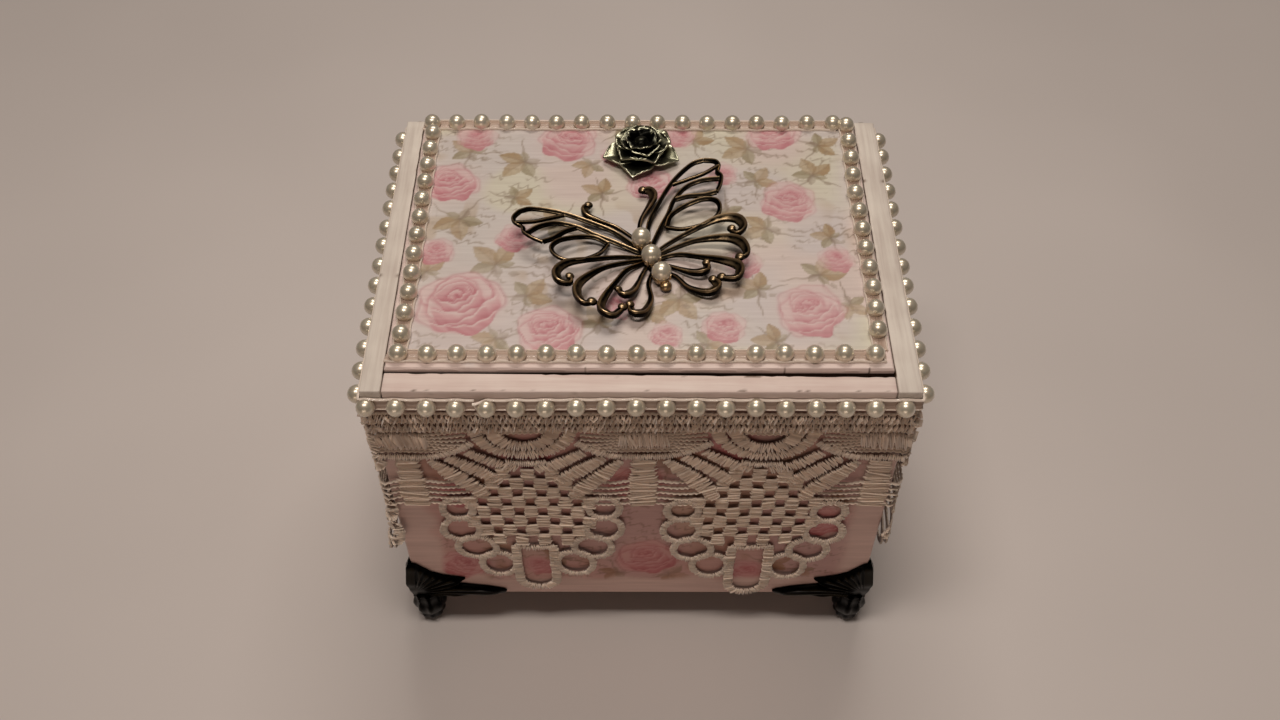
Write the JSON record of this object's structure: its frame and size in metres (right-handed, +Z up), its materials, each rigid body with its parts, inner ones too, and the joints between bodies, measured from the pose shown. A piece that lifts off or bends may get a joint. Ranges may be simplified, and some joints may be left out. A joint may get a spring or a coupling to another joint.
{
  "type": "cigar box",
  "caption": "Painted and papered wooden cigar box on cast corner feet, trimmed with lace and pearl tape, its lift-off lid set with an openwork butterfly and a rose.",
  "frame": {"origin": "on the table, under the middle of the box", "axes": "+X to the right along the box's width, +Y from the front to the back, +Z up"},
  "size_m": [0.1686, 0.1264, 0.1445],
  "materials": {
    "painted_wood": "satin",
    "pearl": "gloss",
    "lace": "matte",
    "dark_bronze": "polished",
    "antique_brass": "polished",
    "antique_pewter": "polished"
  },
  "bodies": {
    "root": {"front_wall": "painted_wood", "back_wall": "painted_wood", "left_wall": "painted_wood", "right_wall": "painted_wood", "bottom_board": "painted_wood", "left_stile": "painted_wood", "right_stile": "painted_wood", "front_rail": "painted_wood", "lid": "painted_wood", "lid_pearls_front": "pearl", "lid_pearls_back": "pearl", "lid_pearls_left": "pearl", "lid_pearls_right": "pearl", "box_pearls": "pearl", "lace_trim": "lace", "foot_front_left": "dark_bronze", "foot_front_right": "dark_bronze", "foot_back_left": "dark_bronze", "foot_back_right": "dark_bronze", "butterfly": "antique_brass", "butterfly_pearl_tail": "pearl", "butterfly_pearl_middle": "pearl", "butterfly_pearl_head": "pearl", "metal_rose": "antique_pewter"}
  },
  "joints": []
}
